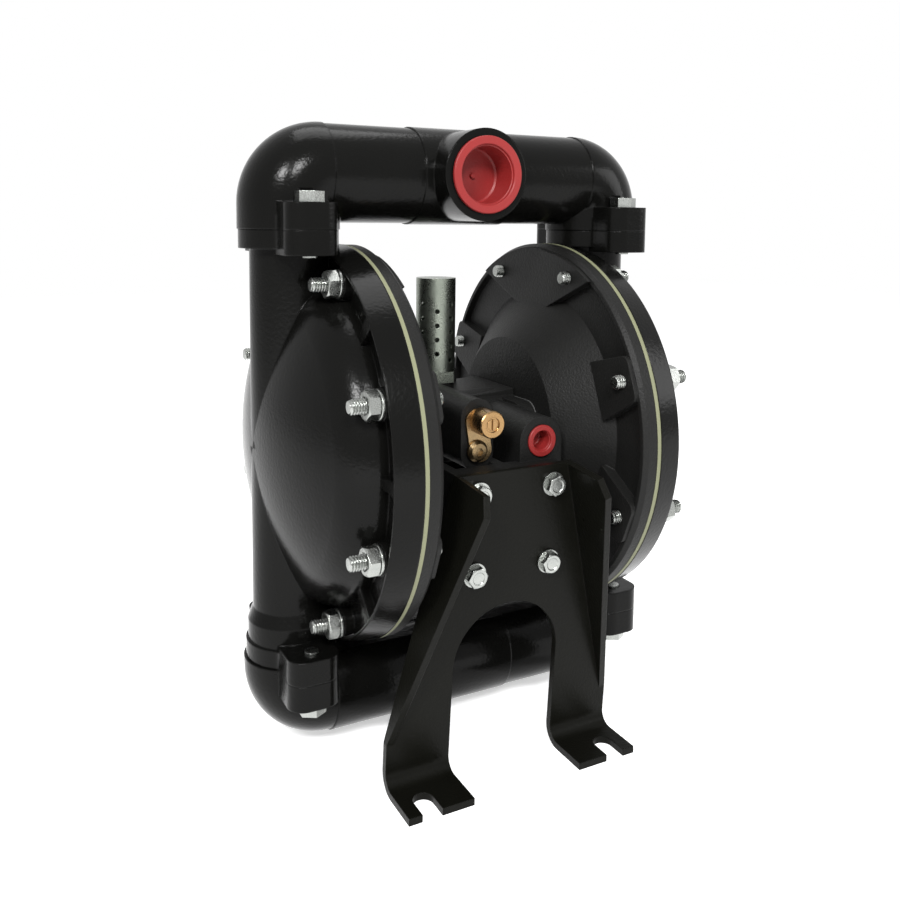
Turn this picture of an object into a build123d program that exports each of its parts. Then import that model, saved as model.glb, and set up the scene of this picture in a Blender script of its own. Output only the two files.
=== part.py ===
from build123d import *
import math
import os

# Air operated double diaphragm pump with 1-1/2 in liquid ports, in millimetres.
# +X runs along the diaphragm rod, -Y is the front with the ports, +Z is up and z = 0 is the floor.
# Everything is drawn about the middle of the rod and raised by rod_height when it is written.

# ---------------------------------------------------------------- layout
rod_height = 224.0
diaphragm_plane = 88.0          # middle of the pump to the middle of each diaphragm
flange_parting = 151.0          # rod axis to the joint between fluid cap and manifold, up and down
column_offset = 127.0           # middle of the pump to the axis of each fluid column
outlet_axis_rise = 190.0        # rod axis up to the outlet manifold's axis
inlet_axis_drop = 180.0         # rod axis down to the inlet manifold's axis

# ---------------------------------------------------------------- fits
running_clearance = 0.04        # rod, spool and pin in their bores, per side
seat_clearance = 0.2            # a loose part in its recess, per side
thread_clearance = 0.15         # a plain shank in the hole that stands for its thread, per side
face_gap = 0.05                 # between parts that face each other over a curved edge

# ---------------------------------------------------------------- fasteners
rim_thread_radius = 5.0         # M10 studs round the diaphragms
rim_nut_flats = 17.0
rim_nut_height = 8.0
rim_washer_thickness = 2.0
rim_washer_radius = 9.8
flange_bolt_radius = 5.0        # M10 bolts through the manifold flanges
flange_bolt_flats = 17.0
flange_bolt_head = 7.2
spot_face_radius = 10.6         # room for the bolt heads beside the elbows
spot_face_height = 9.0
bolt_play = 0.5                 # bolts through their holes, per side
leg_bolt_radius = 4.0           # M8 bolts that hold the legs
leg_bolt_flats = 13.0
leg_bolt_head = 5.5
leg_bolt_length = 22.0
leg_washer_radius = 8.5
leg_washer_thickness = 1.6
cap_screw_radius = 4.0          # M8 screws between each air cap and the centre body
cap_screw_flats = 13.0
cap_screw_head = 5.3
cap_screw_length = 18.0
cap_screw_angles = (14.0, 166.0, 228.0, 312.0)
cap_screw_circle = 38.0

# ---------------------------------------------------------------- diaphragm clamp
bead_setback = 0.3              # the diaphragm's edge lies this far inside the rims
rim_radius = 140.5
stud_circle_radius = 125.0
stud_count = 8
stud_reach_out = 40.5           # diaphragm plane to the stud's tip on the liquid side
stud_reach_in = 21.0            # diaphragm plane to the stud's tip on the air side
diaphragm_thickness = 3.0
convolution_inner = 68.0
convolution_outer = 106.0
convolution_height = 13.0

# ---------------------------------------------------------------- fluid caps
fluid_rim_depth = 18.5
fluid_rim_draft = 3.5           # radius lost from the joint to the rim's face
fluid_rim_band = 1.8            # width of the raised band round the edge
fluid_recess = 6.5              # depth of the channel between band and dome
stud_boss_radius = 10.5
stud_boss_rise = 0.5            # the bosses stand this much proud of the band
dome_base_radius = 115.5
dome_base_offset = 10.5         # clamp face to the widest part of the dome
dome_reach = 64.5               # clamp face to the dome's tip
dome_shoulder = 34.0            # radius of the dome's shoulder, seen from the side
cap_wall = 6.0
column_radius = 27.0
column_bore_radius = 20.0
neck_radius = 30.5              # thicker neck above the lower flange
neck_height = 36.0
neck_taper = 9.0
rib_width_outer = 10.0
rib_width_inner = 5.0

# ---------------------------------------------------------------- flanges between caps and manifolds
outlet_flange_radius = 34.4
inlet_flange_radius = 32.0
flange_bolt_spacing = 88.0
ear_width = 36.0
ear_end_margin = 13.5           # bolt centre to the end of the ear
ear_corner = 12.0
ear_blend = 8.0
cap_flange_thickness = 13.0
cap_ear_thickness = 16.5
manifold_ear_thickness = 18.0

# ---------------------------------------------------------------- manifolds
manifold_radius = 34.5
outlet_elbow_radius = 35.2
inlet_elbow_radius = 33.6
elbow_corner_radius = 57.0      # outside of the elbow, seen from the front
manifold_wall = 6.0
port_boss_radius = 32.6
port_face = 52.7                # manifold axis to the port's face
port_thread_radius = 23.9       # 1-1/2 in pipe thread
port_thread_depth = 24.0
port_passage_radius = 21.0
collar_radius = 35.4
collar_half_width = 38.0

# ---------------------------------------------------------------- balls and seats
ball_radius = 17.0
ball_lift = 8.0
seat_radius = 24.0
seat_bore_radius = 13.0
seat_thickness = 8.0
seat_ring_radius = 1.5
ball_gap = 0.08                 # ball above its seat, so that the two only just touch

# ---------------------------------------------------------------- air caps
air_rim_depth = 10.5
air_rim_band = 6.0
air_recess = 5.0
hat_base_radius = 103.0
hat_face_radius = 66.0
hat_face = 50.0                 # middle of the pump to the hat's flat face
air_chamber_radius = 100.0
pad_rise = 3.0                  # the stud pads stand this much proud of the rim
pad_inner_half = 22.0
pad_outer_half = 16.0
pad_corner = 6.0
nose_radius = 21.7

# ---------------------------------------------------------------- rod and plates
rod_radius = 11.0
rod_half_length = 80.0
rod_stroke = 16.0               # travel to each side of the middle
plate_radius = 62.0
outer_plate_thickness = 6.0
plate_hub_radius = 19.0
plate_hub_step = 2.5            # the plate behind the hub stands back from the rod's end
plate_bolt_radius = 6.0
plate_bolt_flats = 19.0
plate_bolt_head = 8.0
plate_bolt_length = 30.0
bush_wall = 4.0
bush_length = 26.0
rod_seal_section = 2.6

# ---------------------------------------------------------------- centre body
end_flange_thickness = 12.0
gasket_thickness = 1.0
end_flange_half_width = 46.0
end_flange_top = 22.0
end_flange_bottom = 46.0
end_flange_corner = 13.0
barrel_radius = 27.0
saddle_top = 28.0
saddle_bottom = 25.0
saddle_front = 14.0             # the top runs from here, in front of the rod, to the valve face
valve_face = 50.0               # rod axis to the rear face that carries the air valve
inlet_x = 31.5                  # compressed air inlet, on the front
inlet_rise = 3.2                # rod axis up to the inlet
inlet_face = 80.0
inlet_block_radius = 17.5
air_thread_radius = 8.33        # 3/8 in pipe thread
air_thread_depth = 16.0
bleed_x = -12.6                 # brass bleed valve, on the front
bleed_z = 20.0
bleed_face = 69.0
strap_drop = 21.0               # bleed valve down to the strap's screw
strap_shift = -3.4
skirt_half_width = 42.0
skirt_wall = 8.0
skirt_top = -11.0
skirt_bottom = -96.0
pad_depth = 12.0

# ---------------------------------------------------------------- legs
leg_plate = 5.0
leg_lean = 4.6                  # degrees, the feet stand further in than the top
leg_bolt_x = 29.5
leg_bolt_top = -22.7
leg_bolt_pitch = 57.0
leg_face = 98.3                 # rod axis to the leg's front face at the top bolts
leg_top = -9.0
leg_top_half = 46.0
leg_foot_outer = 89.5
leg_foot_inner = 42.0
leg_shoulder = 34.0             # floor to where the outer edge turns vertical
arch_top = -105.0
gusset_width = 41.0
gusset_chamfer = 12.0
foot_length = 38.5
foot_slot_width = 14.4
foot_slot_depth = 21.0
foot_prong = 9.6                # outer prong beside the slot
foot_bend_radius = 9.0

# ---------------------------------------------------------------- air valve, bleed valve and muffler
valve_half_length = 28.0
valve_depth = 40.0
valve_bottom = -8.0
valve_top = 37.0
valve_screw_inset = 6.5
valve_pad = 8.0                 # depth of the raised face behind the valve
valve_gasket = 1.0
spool_radius = 8.0
spool_half_length = 19.5
spool_travel = 5.0
sleeve_wall = 4.0
valve_cap_thickness = 8.0
pilot_radius = 3.0
pilot_y = 26.0
pilot_z = -14.0
pilot_share = 0.25              # pin travel for each millimetre of rod travel
valve_cap_radius = 15.5
spool_groove_offset = 10.0
spool_groove_half = 5.0
spool_groove_depth = 3.0
muffler_y = 25.0
muffler_radius = 15.5
muffler_wall = 1.2
muffler_length = 72.9
muffler_hex_flats = 30.0
muffler_hex_height = 8.7
muffler_neck_radius = 11.0
muffler_seat = 31.5             # rod axis to the underside of the hexagon
muffler_socket = 10.0
muffler_hole_radius = 1.9
muffler_hole_rows = 5           # a column has five holes, the one beside it four
muffler_hole_columns = 8
muffler_hole_pitch = 11.0
muffler_hole_start = 9.0        # tube's foot to the lowest hole
muffler_bore_radius = 7.0
bleed_radius = 9.5
bleed_length = 16.0
bleed_neck_radius = 6.0
strap_half_width = 8.5
strap_thickness = 2.5

# ---------------------------------------------------------------- port caps
outlet_cap_flange_radius = 27.2
outlet_cap_flange = 3.0
outlet_cap_depth = 24.0
inlet_cap_flange_radius = 11.4
inlet_cap_flange = 2.0
inlet_cap_depth = 12.0
outlet_cap_skin = 2.2
inlet_cap_skin = 1.4
cap_taper = 1.2

# ---------------------------------------------------------------- sizes that follow from those above
clamp_outer = diaphragm_plane + diaphragm_thickness / 2
clamp_inner = diaphragm_plane - diaphragm_thickness / 2
fluid_rim_face = clamp_outer + fluid_rim_depth
boss_face = fluid_rim_face + stud_boss_rise
dome_start = clamp_outer + dome_base_offset
dome_tip = clamp_outer + dome_reach
air_rim_face = clamp_inner - air_rim_depth
body_end = hat_face - gasket_thickness
nose_end = hat_face + cap_wall
rim_hole = rim_thread_radius + thread_clearance
stud_angles = [360 / stud_count * (n + 0.5) for n in range(stud_count)]
ear_end = flange_bolt_spacing / 2 + ear_end_margin
bolt_offsets = (-flange_bolt_spacing / 2, flange_bolt_spacing / 2)
pilot_half_length = rod_half_length + plate_hub_step - rod_stroke * (1 - pilot_share) - face_gap
leg_slope = math.tan(math.radians(leg_lean))
valve_screw_x = (valve_screw_inset - valve_half_length, valve_half_length - valve_screw_inset)
valve_screw_z = (valve_bottom + valve_screw_inset, valve_top - valve_screw_inset)


def rod_x(x0, x1, radius, y=0.0, z=0.0):
    """Cylinder along X."""
    return Pos(x0, y, z) * Rot(0, 90, 0) * extrude(Circle(radius), x1 - x0)


def rod_y(y0, y1, radius, x=0.0, z=0.0):
    """Cylinder along Y."""
    return Pos(x, y0, z) * Rot(-90, 0, 0) * extrude(Circle(radius), y1 - y0)


def rod_z(z0, z1, radius, x=0.0, y=0.0):
    """Cylinder along Z."""
    return Pos(x, y, z0) * extrude(Circle(radius), z1 - z0)


def block(x0, x1, y0, y1, z0, z1):
    """Box between two corners."""
    return Pos((x0 + x1) / 2, (y0 + y1) / 2, (z0 + z1) / 2) * Box(x1 - x0, y1 - y0, z1 - z0)


def hexagon(flats):
    """Hexagon of the given width across its flats."""
    return RegularPolygon(flats / 2, 6, major_radius=False)


def turned(*points):
    """Solid turned about the X axis from (x, radius) points that start and end on the axis."""
    return revolve(make_face(Polyline(*points, close=True)), Axis.X)


def around(angles, radius):
    """Y, Z places on a circle round the rod axis, with 0 degrees at +Y."""
    return [(radius * math.cos(math.radians(a)), radius * math.sin(math.radians(a))) for a in angles]


def mirrored(shape):
    """The same piece on the other side of the pump."""
    return mirror(shape, about=Plane.YZ)


def flange_outline(radius):
    """Round flange with a bolt ear at the front and at the back, blended at the corners."""
    outline = Circle(radius) + RectangleRounded(ear_width, 2 * ear_end, ear_corner)
    corners = [v for v in outline.vertices() if abs(v.Y) < radius and abs(v.X) > ear_width / 2 - 0.1]
    return fillet(corners, ear_blend)


def ear_outline(radius):
    """The part of the outline that only the two ears cover."""
    ears = RectangleRounded(ear_width, 2 * ear_end, ear_corner)
    return ears - Rectangle(2 * ear_width, 2 * (radius - ear_blend))


# ================================================================ liquid side

def dome_curve(inset, end_x):
    """Side view of the dome from its tip to end_x: a large arc and a shoulder arc, moved in by inset."""
    rise = dome_tip - dome_start
    tall = dome_base_radius
    large = (tall ** 2 + rise ** 2 - 2 * tall * dome_shoulder) / (2 * (rise - dome_shoulder))
    centre_x = dome_tip - large
    join = math.degrees(math.atan2(tall - dome_shoulder, dome_start - centre_x))
    end = math.degrees(math.acos((end_x - dome_start) / (dome_shoulder - inset)))
    cap_arc = CenterArc((centre_x, 0), large - inset, 0, join)
    return cap_arc + CenterArc((dome_start, tall - dome_shoulder), dome_shoulder - inset, join, end - join)


def fluid_cap():
    """Domed chamber cover with its vertical column, on the +X side."""
    web = fluid_rim_face - fluid_recess
    foot = dome_base_radius - dome_shoulder + math.sqrt(dome_shoulder ** 2 - (web - dome_start) ** 2)
    crest = rim_radius - fluid_rim_draft
    band = crest - fluid_rim_band
    edge = Polyline(
        (dome_tip, 0), (clamp_outer, 0), (clamp_outer, rim_radius), (fluid_rim_face, crest),
        (fluid_rim_face, band), (web, band - 1), (web, foot),
    )
    shell = revolve(make_face(edge + dome_curve(0, web)), Axis.X)

    column = rod_z(-flange_parting, flange_parting, column_radius, column_offset)
    neck_top = -flange_parting + neck_height
    neck = rod_z(-flange_parting, neck_top - neck_taper, neck_radius, column_offset)
    taper = loft([
        Pos(column_offset, 0, neck_top - neck_taper) * Circle(neck_radius),
        Pos(column_offset, 0, neck_top) * Circle(column_radius),
    ])
    shell += [column, neck, taper]
    shell += [
        rod_x(clamp_outer, boss_face, stud_boss_radius, y, z)
        for y, z in around(stud_angles, stud_circle_radius)
    ]
    rib = Polyline(
        (dome_base_radius - 8, -rib_width_inner / 2), (band + 1, -rib_width_outer / 2),
        (band + 1, rib_width_outer / 2), (dome_base_radius - 8, rib_width_inner / 2), close=True,
    )
    rib = Plane.YZ.offset(web - 1) * extrude(make_face(rib), fluid_recess + 0.5)
    shell += [Rot(360 / stud_count * n, 0, 0) * rib for n in range(stud_count)]

    for radius, end in ((outlet_flange_radius, 1), (inlet_flange_radius, -1)):
        outlines = (flange_outline(radius), cap_flange_thickness), (ear_outline(radius), cap_ear_thickness)
        for outline, depth in outlines:
            low = min(end * flange_parting, end * (flange_parting - depth))
            shell += Pos(column_offset, 0, low) * extrude(outline, depth)

    chamber_radius = dome_base_radius - cap_wall
    chamber = Polyline(
        (dome_tip - cap_wall, 0), (clamp_outer, 0),
        (clamp_outer, chamber_radius), (dome_start, chamber_radius),
    )
    shell -= revolve(make_face(chamber + dome_curve(cap_wall, dome_start)), Axis.X)
    shell -= rod_z(-flange_parting, flange_parting, column_bore_radius, column_offset)
    seat_recess = seat_radius + seat_clearance
    shell -= rod_z(flange_parting - seat_thickness, flange_parting, seat_recess, column_offset)
    shell -= rod_z(-flange_parting, -flange_parting + seat_thickness, seat_recess, column_offset)
    for y in bolt_offsets:
        for end in (-1, 1):
            ends = sorted((end * flange_parting, end * (flange_parting - cap_ear_thickness)))
            shell -= rod_z(*ends, flange_bolt_radius + thread_clearance, column_offset, y)
    for y, z in around(stud_angles, stud_circle_radius):
        shell -= rod_x(clamp_outer, boss_face, rim_hole, y, z)
    return shell


def diaphragm():
    """Flexible disc with one rolled convolution, clamped at its edge and between the rod's plates."""
    middle = (convolution_inner + convolution_outer) / 2
    near, far = clamp_inner, clamp_outer
    edge = rim_radius - bead_setback
    outer = Polyline((far, convolution_outer), (far, edge), (near, edge), (near, convolution_outer))
    back = ThreePointArc(
        (near, convolution_outer), (near + convolution_height, middle), (near, convolution_inner)
    )
    inner = Polyline((near, convolution_inner), (near, 0), (far, 0), (far, convolution_inner))
    front = ThreePointArc(
        (far, convolution_inner), (far + convolution_height, middle), (far, convolution_outer)
    )
    disc = revolve(make_face(outer + back + inner + front), Axis.X)
    disc -= rod_x(near, far, plate_bolt_radius + thread_clearance)
    for y, z in around(stud_angles, stud_circle_radius):
        disc -= rod_x(near, far, rim_hole, y, z)
    return disc


def rim_studs():
    """Eight studs of the +X side."""
    start, end = diaphragm_plane - stud_reach_in, diaphragm_plane + stud_reach_out
    stud = chamfer(rod_x(start, end, rim_thread_radius).edges(), 1.0)
    return [Pos(0, y, z) * stud for y, z in around(stud_angles, stud_circle_radius)]


def rim_washers():
    """Flat washers under the nuts of the +X side."""
    washer = rod_x(boss_face, boss_face + rim_washer_thickness, rim_washer_radius)
    washer -= rod_x(boss_face, boss_face + rim_washer_thickness, rim_hole)
    return [Pos(0, y, z) * washer for y, z in around(stud_angles, stud_circle_radius)]


def rim_nuts():
    """Hexagon nuts of the +X side."""
    seat = boss_face + rim_washer_thickness
    nut = extrude(hexagon(rim_nut_flats) - Circle(rim_hole), rim_nut_height)
    nut = Pos(seat, 0, 0) * Rot(0, 90, 0) * nut
    return [Pos(0, y, z) * nut for y, z in around(stud_angles, stud_circle_radius)]


def manifold(axis, up, port_side, flange_radius, elbow_radius):
    """Cross tube with an elbow and a two-bolt flange at each end, and a threaded port boss in the middle.

    axis is the height of the tube, up is 1 above the pump and -1 below it, and port_side is -1 at the front.
    """
    bend = elbow_corner_radius - elbow_radius
    bend_x = column_offset - bend
    bend_z = axis - up * bend
    parting = up * flange_parting

    def elbow(radius):
        """Outer or inner form of the +X elbow: a circle swung round the inside corner of the bend."""
        outer_half = Pos(bend_x + elbow_corner_radius, 0) * Rectangle(2 * elbow_corner_radius, 4 * radius)
        circle = Pos(bend_x, 0, 0) * (Pos(bend, 0) * Circle(radius)) & outer_half
        turn = revolve(circle, Axis((bend_x, 0, 0), (0, 1, 0)), 90 if up < 0 else -90)
        leg = rod_z(min(parting, bend_z), max(parting, bend_z), radius, column_offset)
        return Pos(0, 0, bend_z) * turn + leg

    body = rod_x(-bend_x, bend_x, manifold_radius, 0, axis)
    side = elbow(elbow_radius)
    body += [side, mirrored(side)]
    body += rod_x(-collar_half_width, collar_half_width, collar_radius, 0, axis)
    body += rod_y(min(0, port_side * port_face), max(0, port_side * port_face), port_boss_radius, 0, axis)

    flange_z = parting if up > 0 else parting - manifold_ear_thickness
    low = manifold_ear_thickness * 0.55
    plain_z = parting if up > 0 else parting - low
    for x in (-column_offset, column_offset):
        body += Pos(x, 0, plain_z) * extrude(flange_outline(flange_radius), low)
        body += Pos(x, 0, flange_z) * extrude(ear_outline(flange_radius), manifold_ear_thickness)

    bore = rod_x(-bend_x, bend_x, manifold_radius - manifold_wall, 0, axis)
    inside = elbow(elbow_radius - manifold_wall)
    body -= [bore, inside, mirrored(inside)]
    mouth = port_side * port_face
    shoulder = port_side * (port_face - port_thread_depth)
    body -= rod_y(min(mouth, shoulder), max(mouth, shoulder), port_thread_radius, 0, axis)
    body -= rod_y(min(0, shoulder), max(0, shoulder), port_passage_radius, 0, axis)
    for x in (-column_offset, column_offset):
        for y in bolt_offsets:
            body -= rod_z(flange_z, flange_z + manifold_ear_thickness, flange_bolt_radius + bolt_play, x, y)
            seat = up * (flange_parting + manifold_ear_thickness)
            ends = sorted((seat, seat + up * spot_face_height))
            body -= rod_z(*ends, spot_face_radius, x, y)
    # the tube's underside is trimmed flush with the joint faces
    trim = column_offset + flange_radius + 10
    high = parting if up < 0 else parting - 40
    body -= block(-trim, trim, -80, 80, high, high + 40)
    return body


def flange_bolts(up):
    """Four bolts that clamp a manifold to the two fluid caps."""
    seat = flange_parting + manifold_ear_thickness
    tip = flange_parting - cap_ear_thickness - 1.5
    head = Pos(0, 0, seat) * Rot(0, 0, 30) * extrude(hexagon(flange_bolt_flats), flange_bolt_head)
    bolt = head + rod_z(tip, seat, flange_bolt_radius)
    if up < 0:
        bolt = mirror(bolt, about=Plane.XY)
    return [Pos(x, y, 0) * bolt for x in (-column_offset, column_offset) for y in bolt_offsets]


def valve_seat():
    """Seat ring with a chamfered lip, its base at z = 0."""
    ring = rod_z(0, seat_thickness, seat_radius) - rod_z(0, seat_thickness, seat_bore_radius)
    lip = Pos(0, 0, seat_thickness) * Circle(seat_bore_radius + 1.2)
    cone = loft([lip, Pos(0, 0, seat_thickness - 1.2) * Circle(seat_bore_radius)])
    return ring - cone


# ================================================================ air side

def air_cap():
    """Hat-shaped cover behind the diaphragm, on the +X side."""
    web = air_rim_face + air_recess
    band = rim_radius - air_rim_band
    hat = turned(
        (hat_face, 0), (hat_face, hat_face_radius), (web, hat_base_radius), (web, band - 2),
        (air_rim_face, band), (air_rim_face, rim_radius - 3), (air_rim_face + 3, rim_radius - 0.5),
        (clamp_inner, rim_radius - 0.5), (clamp_inner, 0),
    )
    pad_face = air_rim_face - pad_rise
    outline = Polyline(
        (hat_base_radius - 8, -pad_inner_half), (rim_radius - 4, -pad_outer_half),
        (rim_radius - 4, pad_outer_half), (hat_base_radius - 8, pad_inner_half), close=True,
    )
    pad = make_face(outline)
    pad = fillet(pad.vertices().group_by(Axis.X)[-1], pad_corner)
    pad = Plane.YZ.offset(pad_face) * extrude(pad, web - pad_face + 1)
    single = [a for a in stud_angles if min(a % 180, 180 - a % 180) < 45]
    hat += [Rot(a, 0, 0) * pad for a in single]
    spread = 360 / stud_count / 2
    wide = Polyline(
        (hat_base_radius - 12, -pad_inner_half * 0.9), (stud_circle_radius - 9, -stud_circle_radius * 0.62),
        (stud_circle_radius + 3, -stud_circle_radius * 0.5), (rim_radius - 3, 0),
        (stud_circle_radius + 3, stud_circle_radius * 0.5),
        (stud_circle_radius - 9, stud_circle_radius * 0.62),
        (hat_base_radius - 12, pad_inner_half * 0.9), close=True,
    )
    wide = Plane.YZ.offset(pad_face) * extrude(make_face(wide), web - pad_face + 1)
    wide &= rod_x(0, clamp_inner, rim_radius - 4)
    hat += [Rot(90, 0, 0) * wide, Rot(-90, 0, 0) * wide]
    hat -= turned(
        (nose_end, 0), (nose_end, hat_face_radius - 4), (clamp_inner, air_chamber_radius), (clamp_inner, 0)
    )
    hat -= rod_x(hat_face, nose_end, nose_radius + seat_clearance)
    hat -= rod_x(hat_face, nose_end, pilot_radius + 0.5, pilot_y, pilot_z)
    for y, z in around(stud_angles, stud_circle_radius):
        hat -= rod_x(pad_face, clamp_inner, rim_hole, y, z)
    for y, z in around(cap_screw_angles, cap_screw_circle):
        hat -= rod_x(hat_face, nose_end, cap_screw_radius + 0.5, y, z)
    return hat


def air_cap_gasket():
    """Flat gasket between the centre body and the +X air cap."""
    gasket = Plane.YZ.offset(body_end) * extrude(end_flange_outline(), gasket_thickness)
    gasket &= rod_x(body_end, hat_face, hat_face_radius - 2)
    gasket -= rod_x(body_end, hat_face, nose_radius + seat_clearance)
    gasket -= rod_x(body_end, hat_face, pilot_radius + 0.5, pilot_y, pilot_z)
    for y, z in around(cap_screw_angles, cap_screw_circle):
        gasket -= rod_x(body_end, hat_face, cap_screw_radius + 0.5, y, z)
    return gasket


def air_cap_screws():
    """Screws from inside the +X air cap into the centre body."""
    tip = nose_end - cap_screw_length
    head = Pos(nose_end, 0, 0) * Rot(0, 90, 0) * extrude(hexagon(cap_screw_flats), cap_screw_head)
    screw = head + rod_x(tip, nose_end, cap_screw_radius)
    return [Pos(0, y, z) * screw for y, z in around(cap_screw_angles, cap_screw_circle)]


def end_flange_outline():
    """Outline of the centre body's ends, drawn in Y and Z."""
    height = end_flange_top + end_flange_bottom
    return Pos(0, end_flange_top - height / 2) * RectangleRounded(
        2 * end_flange_half_width, height, end_flange_corner
    )


def leg_cut(offset):
    """Everything in front of the leaning plane that lies this far behind the legs' front face."""
    plane = Pos(0, -leg_face, leg_bolt_top) * Rot(leg_lean, 0, 0)
    return plane * block(-200, 200, -200, offset, -300, 300)


def front_and_back(shape):
    """The same feature at the front and at the back."""
    return [shape, mirror(shape, about=Plane.XZ)]


def centre_body():
    """Cast middle section: barrel, end flanges, air passages, front ports and the skirt for the legs."""
    flange = extrude(end_flange_outline(), end_flange_thickness)
    body = rod_x(-body_end, body_end, barrel_radius)
    body += Plane.YZ.offset(body_end - end_flange_thickness) * flange
    body += Plane.YZ.offset(-body_end) * flange
    # saddle-shaped top that joins the two end flanges
    top = block(-body_end, body_end, -saddle_front, valve_face, 0, saddle_top)
    sag = saddle_top - saddle_bottom
    sag_radius = (body_end ** 2 + sag ** 2) / (2 * sag)
    top -= rod_y(-60, 60, sag_radius, 0, saddle_bottom + sag_radius)
    body += top
    body += rod_z(0, muffler_seat, muffler_neck_radius + 4, 0, muffler_y)
    body += block(
        -valve_half_length, valve_half_length, valve_face - valve_pad, valve_face, valve_bottom, valve_top
    )
    # block for the compressed air inlet, with a rounded top
    body += rod_y(-inlet_face, 0, inlet_block_radius, inlet_x, inlet_rise)
    body += block(inlet_x - inlet_block_radius, body_end, -inlet_face, 0, skirt_top - 6, inlet_rise)
    # boss for the bleed valve and its strap
    boss = SlotOverall(strap_drop + 30, 26)
    boss = extrude(boss, bleed_face)
    body += Pos(bleed_x + strap_shift / 2, 0, bleed_z - strap_drop / 2) * Rot(90, 0, 0) * Rot(0, 0, 90) * boss
    # skirt walls that run from front to back and carry the leg pads
    for x in (-skirt_half_width, -skirt_wall / 2, skirt_half_width - skirt_wall):
        body += block(x, x + skirt_wall, -leg_face, leg_face, skirt_bottom, skirt_top)
    pad_back = -leg_face + pad_depth + 12
    pad = block(-skirt_half_width, skirt_half_width, -leg_face, pad_back, skirt_bottom, skirt_top)
    body += front_and_back(pad)
    body -= front_and_back(leg_cut(leg_plate))

    # rod bore with room for the bushes and seals, and the noses that centre the air caps
    for x in (-1, 1):
        body += rod_x(min(x * body_end, x * nose_end), max(x * body_end, x * nose_end), nose_radius)
    body -= rod_x(-nose_end, nose_end, rod_radius + 0.5)
    bush_radius = rod_radius + running_clearance + bush_wall
    for x in (-1, 1):
        ends = sorted((x * nose_end, x * (nose_end - bush_length)))
        body -= rod_x(ends[0], ends[1], bush_radius)
    body -= rod_x(-nose_end, nose_end, pilot_radius + running_clearance, pilot_y, pilot_z)
    for x in (-1, 1):
        ends = sorted((x * body_end, x * (nose_end - cap_screw_length - 2)))
        for y, z in around(cap_screw_angles, cap_screw_circle):
            body -= rod_x(ends[0], ends[1], cap_screw_radius + thread_clearance, y, z)

    # ports
    body -= rod_y(-inlet_face, -inlet_face + air_thread_depth, air_thread_radius, inlet_x, inlet_rise)
    socket_radius = muffler_neck_radius + thread_clearance
    body -= rod_z(muffler_seat - muffler_socket - 1, muffler_seat, socket_radius, 0, muffler_y)
    body -= rod_y(-bleed_face, -bleed_face + 12, bleed_neck_radius + thread_clearance, bleed_x, bleed_z)
    body -= rod_y(-bleed_face, -bleed_face + 12, 3.2, bleed_x + strap_shift, bleed_z - strap_drop)
    tilt = Rot(leg_lean, 0, 0)
    for x in (-leg_bolt_x, leg_bolt_x):
        for z in (0, -leg_bolt_pitch):
            hole = rod_y(0, leg_bolt_length, leg_bolt_radius + thread_clearance)
            hole = Pos(x, -leg_face, leg_bolt_top) * tilt * Pos(0, 0, z) * hole
            body -= front_and_back(hole)
    for x in valve_screw_x:
        for z in valve_screw_z:
            body -= rod_y(valve_face - 10, valve_face, 2.65, x, z)
    return body


# ================================================================ legs

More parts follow.
